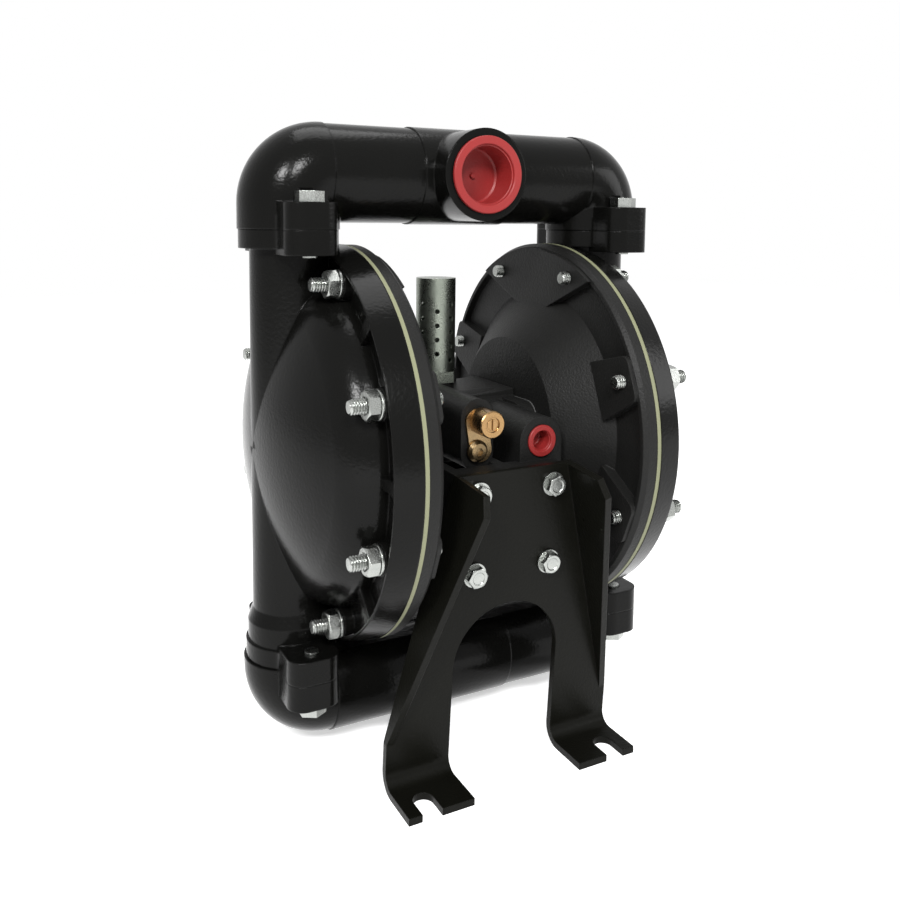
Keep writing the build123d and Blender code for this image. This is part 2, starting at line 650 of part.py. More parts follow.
def leg():
    """Front leg bracket: one folded plate with an arch, side gussets and slotted feet."""
    floor = -rod_height
    depth_at_floor = leg_face - leg_slope * (leg_bolt_top - floor)
    top_y = -leg_face - leg_slope * (leg_top - leg_bolt_top)
    # side view: leaning plate, bend and foot, as one strip of constant thickness
    heel = -depth_at_floor
    toe = heel - foot_length
    through = leg_plate / math.cos(math.radians(leg_lean))
    profile = Polyline(
        (top_y, leg_top), (heel - leg_slope * leg_plate, floor + leg_plate), (toe, floor + leg_plate),
        (toe, floor), (heel + through, floor), (top_y + through, leg_top), close=True,
    )
    side = make_face(profile)
    for level, radius in ((floor + leg_plate, foot_bend_radius), (floor, foot_bend_radius + leg_plate)):
        bend = [v for v in side.vertices() if abs(v.Y - level) < 0.1 and v.X > toe + 1]
        side = fillet(bend, radius)
    strip = extrude(Plane.YZ * side, leg_foot_outer + 5, both=True)

    # front view: straight sided top, flared legs and the round arch between them
    shoulder = floor + leg_shoulder
    outline = Polyline(
        (-leg_top_half, leg_top), (-leg_foot_outer, shoulder), (-leg_foot_outer, floor),
        (leg_foot_outer, floor), (leg_foot_outer, shoulder), (leg_top_half, leg_top), close=True,
    )
    outline = make_face(outline)
    arch_centre = arch_top - leg_foot_inner
    outline -= Pos(0, arch_centre) * Circle(leg_foot_inner)
    outline -= Pos(0, (arch_centre + floor) / 2) * Rectangle(2 * leg_foot_inner, arch_centre - floor)
    front_form = extrude(Plane.XZ * outline, leg_face + 60)
    plate = strip & front_form

    # side gussets folded forward along the flared edges
    tilt = Rot(leg_lean, 0, 0)
    fold = math.atan2(leg_foot_outer - leg_top_half, leg_top - shoulder)
    length = math.hypot(leg_foot_outer - leg_top_half, leg_top - shoulder)
    tip = leg_plate + gusset_width
    wing = make_face(Polyline(
        (0, 0), (0, tip - gusset_chamfer * 0.55), (gusset_chamfer, tip), (length, leg_plate), (length, 0),
        close=True,
    ))
    wing = Plane((0, leg_plate, 0), x_dir=(0, 0, -1), z_dir=(-1, 0, 0)) * extrude(wing, leg_plate)
    place = Pos(leg_top_half, -leg_face, leg_bolt_top) * tilt * Pos(0, 0, leg_top - leg_bolt_top)
    wing = place * Rot(0, -math.degrees(fold), 0) * wing
    plate += [wing, mirrored(wing)]

    # open slots for the anchor bolts
    slot_x = leg_foot_outer - foot_prong - foot_slot_width / 2
    radius = foot_slot_width / 2
    for x in (-slot_x, slot_x):
        y = toe + foot_slot_depth - radius
        plate -= rod_z(floor, floor + leg_plate + 1, radius, x, y)
        plate -= block(x - radius, x + radius, toe - 1, y, floor, floor + leg_plate + 1)
    for x in (-leg_bolt_x, leg_bolt_x):
        for z in (0, -leg_bolt_pitch):
            hole = rod_y(-1, leg_plate + 1, leg_bolt_radius + 0.4)
            plate -= Pos(x, -leg_face, leg_bolt_top) * tilt * Pos(0, 0, z) * hole
    return plate


def leg_fasteners():
    """Bolts and washers of the front leg: (bolts, washers)."""
    tilt = Rot(leg_lean, 0, 0)
    head = Rot(90, 0, 0) * extrude(hexagon(leg_bolt_flats), leg_bolt_head)
    bolt = Pos(0, -leg_washer_thickness, 0) * head
    bolt += rod_y(-leg_washer_thickness, leg_bolt_length - 2, leg_bolt_radius)
    washer = rod_y(-leg_washer_thickness, 0, leg_washer_radius)
    washer -= rod_y(-leg_washer_thickness, 0, leg_bolt_radius + thread_clearance)
    places = [
        Pos(x, -leg_face, leg_bolt_top) * tilt * Pos(0, 0, z)
        for x in (-leg_bolt_x, leg_bolt_x) for z in (0, -leg_bolt_pitch)
    ]
    return [p * bolt for p in places], [p * washer for p in places]


# ================================================================ rod assembly

def inner_plate():
    """Air side plate of the +X diaphragm."""
    back = rod_half_length
    dish = back + plate_hub_step
    return turned(
        (back, 0), (back, plate_hub_radius), (dish, plate_hub_radius + 3), (dish, plate_radius - 6),
        (clamp_inner - 1.5, plate_radius),
        (clamp_inner, plate_radius), (clamp_inner, 0),
    ) - rod_x(back, clamp_inner, plate_bolt_radius + thread_clearance)


def outer_plate():
    """Liquid side plate of the +X diaphragm."""
    face = clamp_outer + outer_plate_thickness
    return turned(
        (clamp_outer, 0), (clamp_outer, plate_radius),
        (clamp_outer + 1.5, plate_radius), (face, plate_radius - 10),
        (face, 0),
    ) - rod_x(clamp_outer, face, plate_bolt_radius + thread_clearance)


def plate_bolt():
    """Bolt through the +X plates into the rod."""
    seat = clamp_outer + outer_plate_thickness
    head = Pos(seat, 0, 0) * Rot(0, 90, 0) * extrude(hexagon(plate_bolt_flats), plate_bolt_head)
    return head + rod_x(seat - plate_bolt_length, seat, plate_bolt_radius)


def diaphragm_rod():
    """Polished rod that ties the two diaphragms together."""
    rod = rod_x(-rod_half_length, rod_half_length, rod_radius)
    rod = chamfer(rod.edges(), 1.0)
    seat = clamp_outer + outer_plate_thickness
    for x in (-1, 1):
        ends = sorted((x * rod_half_length, x * (seat - plate_bolt_length - 2)))
        rod -= rod_x(ends[0], ends[1], plate_bolt_radius + thread_clearance)
    return rod


def rod_bushes():
    """Bronze bush in each end of the centre body, split to leave a seal groove."""
    outer = rod_radius + running_clearance + bush_wall
    bushes = []
    for x in (-1, 1):
        ends = sorted((x * (nose_end - 6), x * (nose_end - bush_length)))
        bore = rod_x(ends[0], ends[1], rod_radius + running_clearance)
        bushes.append(rod_x(ends[0], ends[1], outer) - bore)
    return bushes


def rod_seals():
    """Lip seal outside each bush."""
    outer = rod_radius + running_clearance + bush_wall
    seals = []
    for x in (-1, 1):
        ends = sorted((x * nose_end, x * (nose_end - 6)))
        seals.append(rod_x(ends[0], ends[1], outer) - rod_x(ends[0], ends[1], rod_radius + running_clearance))
    return seals


# ================================================================ air valve, pilot, bleed valve and muffler

valve_front = valve_face + valve_gasket
valve_back = valve_front + valve_depth
spool_y = valve_front + valve_depth / 2
spool_z = (valve_bottom + valve_top) / 2


def air_valve_body():
    """Valve block on the rear of the centre body."""
    body = block(-valve_half_length, valve_half_length, valve_front, valve_back, valve_bottom, valve_top)
    body = fillet([e for e in body.edges().filter_by(Axis.X) if e.center().Y > valve_front + 1], 4)
    sleeve = spool_radius + running_clearance + sleeve_wall
    body -= rod_x(-valve_half_length, valve_half_length, sleeve, spool_y, spool_z)
    for x in valve_screw_x:
        for z in valve_screw_z:
            body -= rod_y(valve_front, valve_back, 2.9, x, z)
            body -= rod_y(valve_back - 6, valve_back, 5.0, x, z)
    return body


def air_valve_gasket():
    """Gasket under the valve block."""
    gasket = block(-valve_half_length, valve_half_length, valve_face, valve_front, valve_bottom, valve_top)
    for x in valve_screw_x:
        for z in valve_screw_z:
            gasket -= rod_y(valve_face, valve_front, 2.9, x, z)
    return gasket


def air_valve_screws():
    """Socket screws that hold the valve block."""
    screw = rod_y(valve_face - 9, valve_back - 5.8, 2.5) + rod_y(valve_back - 5.8, valve_back - 0.6, 4.6)
    screw -= Pos(0, valve_back - 0.6, 0) * Rot(90, 0, 0) * extrude(hexagon(4.0), 2.6)
    return [
        Pos(x, 0, z) * screw
        for x in valve_screw_x for z in valve_screw_z
    ]


def air_valve_sleeve():
    """Ported sleeve that the spool runs in."""
    half = valve_half_length - 3
    sleeve = rod_x(-half, half, spool_radius + running_clearance + sleeve_wall, spool_y, spool_z)
    return sleeve - rod_x(-half, half, spool_radius + running_clearance, spool_y, spool_z)


def air_valve_spool():
    """Spool with three lands."""
    spool = rod_x(-spool_half_length, spool_half_length, spool_radius, spool_y, spool_z)
    for x in (-spool_groove_offset, spool_groove_offset):
        ends = (x - spool_groove_half, x + spool_groove_half)
        groove = rod_x(*ends, spool_radius + 1, spool_y, spool_z)
        spool -= groove - rod_x(*ends, spool_radius - spool_groove_depth, spool_y, spool_z)
    return spool


def air_valve_caps():
    """Round plug in each end of the valve block."""
    caps = []
    for x in (-1, 1):
        inner = sorted((x * (valve_half_length - 3), x * valve_half_length))
        plug = rod_x(inner[0], inner[1], spool_radius + sleeve_wall - 0.1, spool_y, spool_z)
        outer = sorted((x * valve_half_length, x * (valve_half_length + valve_cap_thickness)))
        caps.append(plug + rod_x(outer[0], outer[1], valve_cap_radius, spool_y, spool_z))
    return caps


def muffler_tube():
    """Perforated tube with a flat end, standing on the hexagon."""
    base = muffler_seat + muffler_hex_height
    top = base + muffler_length
    tube = rod_z(base, top, muffler_radius, 0, muffler_y)
    tube -= rod_z(base, top - muffler_wall, muffler_radius - muffler_wall, 0, muffler_y)
    columns = muffler_hole_columns
    drill = rod_x(0, muffler_radius + 1, muffler_hole_radius)
    for n in range(columns):
        staggered = n % 2
        for row in range(muffler_hole_rows - staggered):
            z = base + muffler_hole_start + (row + staggered / 2) * muffler_hole_pitch
            tube -= Pos(0, muffler_y, z) * Rot(0, 0, 360 / columns * (n + 0.5)) * drill
    return tube


def muffler_base():
    """Hexagon and threaded neck of the muffler."""
    hexa = Pos(0, muffler_y, muffler_seat) * extrude(hexagon(muffler_hex_flats), muffler_hex_height)
    foot = muffler_seat - muffler_socket
    neck = rod_z(foot, muffler_seat, muffler_neck_radius, 0, muffler_y)
    bore = rod_z(foot, muffler_seat + muffler_hex_height, muffler_bore_radius, 0, muffler_y)
    return hexa + neck - bore


def bleed_valve():
    """Brass bleed valve with the bore for its needle."""
    face = -bleed_face - strap_thickness - bleed_length
    body = rod_y(face, -bleed_face - strap_thickness, bleed_radius, bleed_x, bleed_z)
    body = chamfer(body.edges().group_by(Axis.Y)[0], 0.8)
    body += rod_y(-bleed_face - strap_thickness, -bleed_face + 10, bleed_neck_radius, bleed_x, bleed_z)
    return body - rod_y(face, face + 13, 3.9, bleed_x, bleed_z)


def bleed_needle():
    """Slotted needle screw in the bleed valve."""
    face = -bleed_face - strap_thickness - bleed_length
    needle = rod_y(face + 1, face + 12, 3.9 - running_clearance, bleed_x, bleed_z)
    return needle - block(bleed_x - 0.6, bleed_x + 0.6, face, face + 2.2, bleed_z - 5, bleed_z + 5)


def bleed_strap():
    """Retaining strap behind the bleed valve."""
    length = math.hypot(strap_drop, strap_shift)
    angle = math.degrees(math.atan2(strap_shift, strap_drop))
    strap = extrude(SlotCenterToCenter(length, 2 * strap_half_width), strap_thickness)
    middle = (bleed_x + strap_shift / 2, -bleed_face, bleed_z - strap_drop / 2)
    strap = Pos(*middle) * Rot(0, angle, 0) * Rot(90, 0, 0) * Rot(0, 0, 90) * strap
    near = -bleed_face - strap_thickness
    strap -= rod_y(near, -bleed_face, bleed_neck_radius + seat_clearance, bleed_x, bleed_z)
    return strap - rod_y(near, -bleed_face, 3.4, bleed_x + strap_shift, bleed_z - strap_drop)


def strap_screw():
    """Button head socket screw that holds the strap."""
    near = -bleed_face - strap_thickness
    profile = Polyline((0, 0), (7.8, 0), (7.6, 1.6), (5.6, 3.9), (0, 4.6), close=True)
    head = revolve(Plane.XZ * make_face(profile), Axis.Z)
    head = Pos(bleed_x + strap_shift, near, bleed_z - strap_drop) * Rot(90, 0, 0) * head
    head += rod_y(near, -bleed_face + 10, 3.0, bleed_x + strap_shift, bleed_z - strap_drop)
    socket = Rot(90, 0, 0) * extrude(hexagon(5.0), 3.0)
    return head - Pos(bleed_x + strap_shift, near - 2.0, bleed_z - strap_drop) * socket


def port_cap(radius, flange, depth, bore, skin):
    """Hollow push-in plug with a flange, about the port's axis, its flange on y = 0."""
    mouth, end = bore - 0.3, bore - 0.3 - cap_taper
    profile = Polyline(
        (0, depth), (end, depth), (mouth, 0), (radius, 0), (radius, -flange), (mouth - skin, -flange),
        (end - skin, depth - skin), (0, depth - skin), close=True,
    )
    return revolve(make_face(profile), Axis.Y)


# ================================================================ write the nodes
os.makedirs("parts", exist_ok=True)


def write(name, shapes):
    """Write one node: one shape, or a group of like pieces."""
    shapes = shapes if isinstance(shapes, list) else [shapes]
    raised = [Pos(0, 0, rod_height) * s for s in shapes]
    solids = [solid for s in raised for solid in s.solids()]
    export_step(Compound(solids) if len(solids) > 1 else solids[0], f"parts/{name}.step")


def both(pieces):
    """Pieces of the +X side and their mirror images."""
    return pieces + [mirrored(p) for p in pieces]


pairs = {
    "fluid_cap": fluid_cap(), "air_cap": air_cap(), "diaphragm": diaphragm(),
    "inner_plate": inner_plate(), "outer_plate": outer_plate(),
}
for name, piece in pairs.items():
    write(f"{name}_right", piece)
    write(f"{name}_left", mirrored(piece))

write("centre_body", centre_body())
write("air_cap_gaskets", both([air_cap_gasket()]))
write("air_cap_screws", both(air_cap_screws()))
write("rim_studs", both(rim_studs()))
write("rim_washers", both(rim_washers()))
write("rim_nuts", both(rim_nuts()))
write("plate_bolts", both([plate_bolt()]))
write("diaphragm_rod", diaphragm_rod())
write("rod_bushes", rod_bushes())
write("rod_seals", rod_seals())

write("outlet_manifold", manifold(outlet_axis_rise, 1, -1, outlet_flange_radius, outlet_elbow_radius))
write("inlet_manifold", manifold(-inlet_axis_drop, -1, 1, inlet_flange_radius, inlet_elbow_radius))
write("outlet_flange_bolts", flange_bolts(1))
write("inlet_flange_bolts", flange_bolts(-1))
ball_rise = math.sqrt(ball_radius ** 2 - seat_bore_radius ** 2) + ball_gap
for side, x in (("left", -column_offset), ("right", column_offset)):
    for port, base in (("outlet", flange_parting - seat_thickness), ("inlet", -flange_parting)):
        top = base + seat_thickness
        write(f"{port}_ball_{side}", Pos(x, 0, top + ball_rise) * Sphere(ball_radius))
write("outlet_seats", both([Pos(column_offset, 0, flange_parting - seat_thickness) * valve_seat()]))
write("inlet_seats", both([Pos(column_offset, 0, -flange_parting) * valve_seat()]))

front_leg = leg()
write("leg_front", front_leg)
write("leg_rear", mirror(front_leg, about=Plane.XZ))
bolts, washers = leg_fasteners()
write("leg_bolts", bolts + [mirror(b, about=Plane.XZ) for b in bolts])
write("leg_washers", washers + [mirror(w, about=Plane.XZ) for w in washers])

write("air_valve_body", air_valve_body())
write("air_valve_gasket", air_valve_gasket())
write("air_valve_screws", air_valve_screws())
write("air_valve_sleeve", air_valve_sleeve())
write("air_valve_spool", air_valve_spool())
write("air_valve_caps", air_valve_caps())
write("pilot_pin", rod_x(-pilot_half_length, pilot_half_length, pilot_radius, pilot_y, pilot_z))
write("muffler_tube", muffler_tube())
write("muffler_base", muffler_base())
write("bleed_valve", bleed_valve())
write("bleed_needle", bleed_needle())
write("bleed_strap", bleed_strap())
write("strap_screw", strap_screw())
outlet_cap = port_cap(
    outlet_cap_flange_radius, outlet_cap_flange, outlet_cap_depth, port_thread_radius, outlet_cap_skin
)
write("outlet_port_cap", Pos(0, -port_face, outlet_axis_rise) * outlet_cap)
inlet_cap = port_cap(
    inlet_cap_flange_radius, inlet_cap_flange, inlet_cap_depth, air_thread_radius, inlet_cap_skin
)
write("air_inlet_cap", Pos(inlet_x, -inlet_face, inlet_rise) * inlet_cap)
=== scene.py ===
import bpy
import bmesh
import math
from mathutils import Matrix, Vector


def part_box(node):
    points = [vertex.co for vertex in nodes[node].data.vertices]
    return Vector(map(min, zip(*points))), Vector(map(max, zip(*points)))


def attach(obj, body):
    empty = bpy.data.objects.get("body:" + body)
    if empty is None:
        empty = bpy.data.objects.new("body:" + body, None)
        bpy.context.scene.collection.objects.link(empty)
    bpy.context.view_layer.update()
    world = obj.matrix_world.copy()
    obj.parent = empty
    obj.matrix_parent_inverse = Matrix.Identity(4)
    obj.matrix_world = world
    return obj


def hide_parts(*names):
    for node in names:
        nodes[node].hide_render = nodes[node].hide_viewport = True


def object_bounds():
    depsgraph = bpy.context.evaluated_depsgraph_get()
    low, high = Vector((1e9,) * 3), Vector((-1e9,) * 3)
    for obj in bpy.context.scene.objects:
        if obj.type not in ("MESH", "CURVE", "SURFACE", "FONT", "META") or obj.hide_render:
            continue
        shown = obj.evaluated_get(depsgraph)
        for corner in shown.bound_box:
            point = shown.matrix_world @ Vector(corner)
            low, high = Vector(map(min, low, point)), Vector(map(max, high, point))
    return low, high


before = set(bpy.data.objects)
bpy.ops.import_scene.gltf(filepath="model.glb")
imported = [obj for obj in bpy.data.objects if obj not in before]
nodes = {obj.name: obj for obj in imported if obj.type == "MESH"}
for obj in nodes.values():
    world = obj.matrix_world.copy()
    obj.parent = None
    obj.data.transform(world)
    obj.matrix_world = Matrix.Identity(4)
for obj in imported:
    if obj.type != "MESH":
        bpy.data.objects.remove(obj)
cad_low, cad_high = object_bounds()

# ---------------------------------------------------------------- studio
# A pale floor under soft lamps. The camera stands at the front left, a little above the middle
# of the pump, and looks slightly down at it.

camera_place = (-0.32214, -0.61060, 0.38351)
camera_yaw = math.radians(27.778)
camera_pitch = math.radians(-5.447)
camera_roll = math.radians(0.574)
focal_px = 910.7
image_long_side = 919
lens_rise_px = -154.5

forward = Vector((
    math.sin(camera_yaw) * math.cos(camera_pitch),
    math.cos(camera_yaw) * math.cos(camera_pitch),
    math.sin(camera_pitch),
))
level = Vector((math.cos(camera_yaw), -math.sin(camera_yaw), 0))
upright = level.cross(forward)
right = level * math.cos(camera_roll) + upright * math.sin(camera_roll)
above = upright * math.cos(camera_roll) - level * math.sin(camera_roll)

lens = bpy.data.cameras.new("camera")
lens.sensor_width = 36
lens.lens = lens.sensor_width * focal_px / image_long_side
lens.shift_y = lens_rise_px / image_long_side
camera = bpy.data.objects.new("camera", lens)
facing = Matrix((right, above, -forward)).transposed().to_4x4()
camera.matrix_world = Matrix.Translation(camera_place) @ facing
bpy.context.collection.objects.link(camera)
bpy.context.scene.camera = camera
bpy.context.scene.view_settings.view_transform = "Standard"


def shader_tree(owner):
    """Empty node tree of a material or world, with a short way to add a node."""
    owner.use_nodes = True
    owner.node_tree.nodes.clear()
    return owner.node_tree, owner.node_tree.nodes.new, owner.node_tree.links.new


def seen_rays(new, link):
    """1 where the camera, a reflection or a clear piece looks, and 0 where light falls."""
    path = new("ShaderNodeLightPath")
    total = path.outputs["Is Camera Ray"]
    for ray in ("Is Glossy Ray", "Is Transmission Ray"):
        add = new("ShaderNodeMath")
        add.operation = "MAXIMUM"
        link(total, add.inputs[0])
        link(path.outputs[ray], add.inputs[1])
        total = add.outputs[0]
    return total


room_light = 0.5
world = bpy.data.worlds.new("studio")
bpy.context.scene.world = world
tree, new, link = shader_tree(world)
lit, seen = new("ShaderNodeBackground"), new("ShaderNodeBackground")
lit.inputs["Strength"].default_value = room_light
for background in (lit, seen):
    background.inputs["Color"].default_value = (1, 1, 1, 1)
mix = new("ShaderNodeMixShader")
link(seen_rays(new, link), mix.inputs[0])
link(lit.outputs[0], mix.inputs[1])
link(seen.outputs[0], mix.inputs[2])
link(mix.outputs[0], new("ShaderNodeOutputWorld").inputs["Surface"])


def lamp(name, place, aim, size, power):
    """Square soft lamp that faces a point."""
    light = bpy.data.lights.new(name, "AREA")
    light.size = size
    light.energy = power
    holder = bpy.data.objects.new(name, light)
    turn = (Vector(aim) - Vector(place)).to_track_quat("-Z", "Y").to_matrix().to_4x4()
    holder.matrix_world = Matrix.Translation(place) @ turn
    bpy.context.collection.objects.link(holder)


pump_middle = ((cad_low + cad_high) / 2)[:]
lamp("key", place=(-1.35, -1.35, 1.55), aim=pump_middle, size=0.42, power=46)
lamp("second", place=(-0.55, -1.75, 1.55), aim=pump_middle, size=0.42, power=40)
lamp("fill", place=(1.7, -1.1, 0.9), aim=pump_middle, size=0.9, power=12)
lamp("top", place=(0.1, 0.3, 2.0), aim=pump_middle, size=1.0, power=14)

floor_half = 4.0
floor_glow = 0.5
floor_mesh = bpy.data.meshes.new("floor")
corners = [(x * floor_half, y * floor_half, 0) for x, y in ((-1, -1), (1, -1), (1, 1), (-1, 1))]
floor_mesh.from_pydata(corners, [], [(0, 1, 2, 3)])
floor = bpy.data.objects.new("floor", floor_mesh)
bpy.context.collection.objects.link(floor)
paper = bpy.data.materials.new("floor_paper")
tree, new, link = shader_tree(paper)
shade, glow, total = new("ShaderNodeBsdfDiffuse"), new("ShaderNodeEmission"), new("ShaderNodeAddShader")
shade.inputs["Color"].default_value = (0.93, 0.93, 0.93, 1)
share = new("ShaderNodeMath")
share.operation = "MULTIPLY"
share.inputs[1].default_value = floor_glow
link(seen_rays(new, link), share.inputs[0])
link(share.outputs[0], glow.inputs["Strength"])
link(shade.outputs[0], total.inputs[0])
link(glow.outputs[0], total.inputs[1])
link(total.outputs[0], new("ShaderNodeOutputMaterial").inputs["Surface"])
floor_mesh.materials.append(paper)

# ---------------------------------------------------------------- cast fluid caps and manifolds
# Grey iron castings dipped in a black enamel that flows over the sand grain and stays satin.
# The two caps hold the liquid chambers, and the manifolds join their columns at top and bottom.


def build_surface_group():
    """Slow drift between two colours, with a fine grain for the roughness and the height."""
    group = bpy.data.node_groups.new("surface", "ShaderNodeTree")
    sockets = group.interface
    for name, kind in (
        ("Vector", "NodeSocketVector"), ("Colour", "NodeSocketColor"), ("Drift Colour", "NodeSocketColor"),
        ("Drift Scale", "NodeSocketFloat"), ("Grain Scale", "NodeSocketFloat"),
        ("Roughness", "NodeSocketFloat"), ("Roughness Spread", "NodeSocketFloat"),
    ):
        sockets.new_socket(name, in_out="INPUT", socket_type=kind)
    for name, kind in (
        ("Colour", "NodeSocketColor"), ("Roughness", "NodeSocketFloat"), ("Height", "NodeSocketFloat"),
    ):
        sockets.new_socket(name, in_out="OUTPUT", socket_type=kind)
    new, link = group.nodes.new, group.links.new
    given, result = new("NodeGroupInput"), new("NodeGroupOutput")
    drift, grain = new("ShaderNodeTexNoise"), new("ShaderNodeTexNoise")
    for noise, scale, detail in ((drift, "Drift Scale", 4), (grain, "Grain Scale", 3)):
        link(given.outputs["Vector"], noise.inputs["Vector"])
        link(given.outputs[scale], noise.inputs["Scale"])
        noise.inputs["Detail"].default_value = detail
    blend = new("ShaderNodeMix")
    blend.data_type = "RGBA"
    link(drift.outputs["Fac"], blend.inputs["Factor"])
    link(given.outputs["Colour"], blend.inputs[6])
    link(given.outputs["Drift Colour"], blend.inputs[7])
    link(blend.outputs[2], result.inputs["Colour"])
    both = new("ShaderNodeMath")
    both.operation = "ADD"
    link(drift.outputs["Fac"], both.inputs[0])
    link(grain.outputs["Fac"], both.inputs[1])
    centred = new("ShaderNodeMath")
    centred.operation = "SUBTRACT"
    link(both.outputs[0], centred.inputs[0])
    centred.inputs[1].default_value = 1.0
    spread = new("ShaderNodeMath")
    spread.operation = "MULTIPLY_ADD"
    link(centred.outputs[0], spread.inputs[0])
    link(given.outputs["Roughness Spread"], spread.inputs[1])
    link(given.outputs["Roughness"], spread.inputs[2])
    link(spread.outputs[0], result.inputs["Roughness"])
    link(grain.outputs["Fac"], result.inputs["Height"])
    return group


surface = build_surface_group()


def finish(name, colour, drift_colour, roughness, spread, drift_scale, grain_scale, depth,
           metallic=0.0, shine=0.5, coat=0.0, coat_roughness=0.1, edge=0.0005, stretch=(1, 1, 1)):
    """Material of one finish: base, drift and grain, with edges that catch the light over a small radius."""
    material = bpy.data.materials.new(name)
    tree, new, link = shader_tree(material)
    place, mapping, group = new("ShaderNodeTexCoord"), new("ShaderNodeMapping"), new("ShaderNodeGroup")
    mapping.inputs["Scale"].default_value = stretch
    link(place.outputs["Object"], mapping.inputs["Vector"])
    group.node_tree = surface
    link(mapping.outputs[0], group.inputs["Vector"])
    for socket, value in (
        ("Colour", (*colour, 1)), ("Drift Colour", (*drift_colour, 1)), ("Drift Scale", drift_scale),
        ("Grain Scale", grain_scale), ("Roughness", roughness), ("Roughness Spread", spread),
    ):
        group.inputs[socket].default_value = value
    skin = new("ShaderNodeBsdfPrincipled")
    skin.inputs["Metallic"].default_value = metallic
    skin.inputs["Specular IOR Level"].default_value = shine
    skin.inputs["Coat Weight"].default_value = coat
    skin.inputs["Coat Roughness"].default_value = coat_roughness
    link(group.outputs["Colour"], skin.inputs["Base Color"])
    link(group.outputs["Roughness"], skin.inputs["Roughness"])
    bevel, bump = new("ShaderNodeBevel"), new("ShaderNodeBump")
    bevel.samples = 4
    bevel.inputs["Radius"].default_value = edge
    bump.inputs["Distance"].default_value = depth
    link(bevel.outputs[0], bump.inputs["Normal"])
    link(group.outputs["Height"], bump.inputs["Height"])
    link(bump.outputs[0], skin.inputs["Normal"])
    link(skin.outputs[0], new("ShaderNodeOutputMaterial").inputs["Surface"])
    return material


def dress(material, *names):
    """Gives CAD nodes a finish."""
    for name in names:
        mesh = nodes[name].data
        mesh.materials.clear()
        mesh.materials.append(material)


enamel = finish(
    "black_enamel", (0.0020, 0.0020, 0.0018), (0.0034, 0.0034, 0.0031), roughness=0.17, spread=0.05,
    drift_scale=14, grain_scale=420, depth=0.00014, shine=0.09, edge=0.0016,
)
dress(enamel, "fluid_cap_left", "fluid_cap_right", "outlet_manifold", "inlet_manifold")

# ---------------------------------------------------------------- air caps and centre body
# Die castings with a matt black powder coat. The hat-shaped caps close the air chambers and bolt
# to the centre body, which carries rod, air valve, ports and the skirt for the legs. Dark gasket
# sheet lies between the bolted faces.

powder_coat = finish(
    "matt_powder_coat", (0.0055, 0.0055, 0.0052), (0.009, 0.009, 0.0086), roughness=0.46, spread=0.16,
    drift_scale=18, grain_scale=650, depth=0.0003, shine=0.13, edge=0.0010,
)
dress(powder_coat, "air_cap_left", "air_cap_right", "centre_body")
gasket_sheet = finish(
    "gasket_sheet", (0.030, 0.030, 0.030), (0.06, 0.06, 0.058), roughness=0.85, spread=0.1,
    drift_scale=60, grain_scale=900, depth=0.0002, edge=0.0001,
)
dress(gasket_sheet, "air_cap_gaskets", "air_valve_gasket")

# ---------------------------------------------------------------- diaphragms
# Pale moulded elastomer discs. Only their thin beads show, squeezed between the two rims. The
# seals on the rod are black rubber.

elastomer = finish(
    "diaphragm_elastomer", (0.125, 0.132, 0.072), (0.155, 0.158, 0.092), roughness=0.6, spread=0.2,
    drift_scale=40, grain_scale=700, depth=0.0002, edge=0.0003,
)
dress(elastomer, "diaphragm_left", "diaphragm_right")
seal_rubber = finish(
    "seal_rubber", (0.016, 0.016, 0.016), (0.03, 0.03, 0.03), roughness=0.7, spread=0.15,
    drift_scale=60, grain_scale=900, depth=0.0002, edge=0.0002,
)
dress(seal_rubber, "rod_seals")

# ---------------------------------------------------------------- zinc plated fasteners
# Cold formed steel with bright zinc: rim studs with nuts and washers, flange bolts and leg bolts.
# The studs go through both clamp rims, and their washers and nuts are on the liquid side.

zinc = finish(
    "bright_zinc", (0.36, 0.37, 0.35), (0.26, 0.27, 0.26), roughness=0.27, spread=0.2,
    drift_scale=160, grain_scale=1400, depth=0.0001, metallic=1.0, edge=0.0004,
)
dress(
    zinc, "rim_studs", "rim_washers", "rim_nuts", "outlet_flange_bolts", "inlet_flange_bolts", "leg_bolts",
    "leg_washers", "air_cap_screws", "inner_plate_left", "inner_plate_right", "air_valve_screws",
)

crease_angle = math.radians(28)


def soften(mesh):
    """Smooth shading, with every edge past the crease angle kept sharp."""
    mesh.polygons.foreach_set("use_smooth", [True] * len(mesh.polygons))
    mesh.set_sharp_from_angle(angle=crease_angle)


def lathe(name, rows, steps, closed=False):
    """Mesh swept round the X axis, with its ends capped, or closed on itself round a hole.

    A row is a place along the axis and a radius. Each is a number, or a rule that gives one from the angle.
    """
    points, faces = [], []
    for place, radius in rows:
        for step in range(steps):
            angle = 2 * math.pi * step / steps
            r = radius(angle) if callable(radius) else radius
            x = place(angle) if callable(place) else place
            points.append((x, r * math.cos(angle), r * math.sin(angle)))
    last = len(rows) - 1
    for row in range(last + closed):
        for step in range(steps):
            beside = (step + 1) % steps
            above = (row + 1) % len(rows)
            lower, upper = row * steps, above * steps
            faces.append((lower + step, lower + beside, upper + beside, upper + step))
    if not closed:
        for row in (0, last):
            middle = len(points)
            points.append((rows[row][0], 0, 0))
            faces += [(row * steps + (step + 1) % steps, row * steps + step, middle) for step in range(steps)]
    mesh = bpy.data.meshes.new(name)
    mesh.from_pydata(points, [], faces)
    work = bmesh.new()
    work.from_mesh(mesh)
    bmesh.ops.recalc_face_normals(work, faces=work.faces)
    work.to_mesh(mesh)
    work.free()
    soften(mesh)
    return mesh


def stand_for(node, made, body):
    """The finished piece moves with its body, and is shown in place of its CAD node."""
    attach(made, body)
    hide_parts(node)


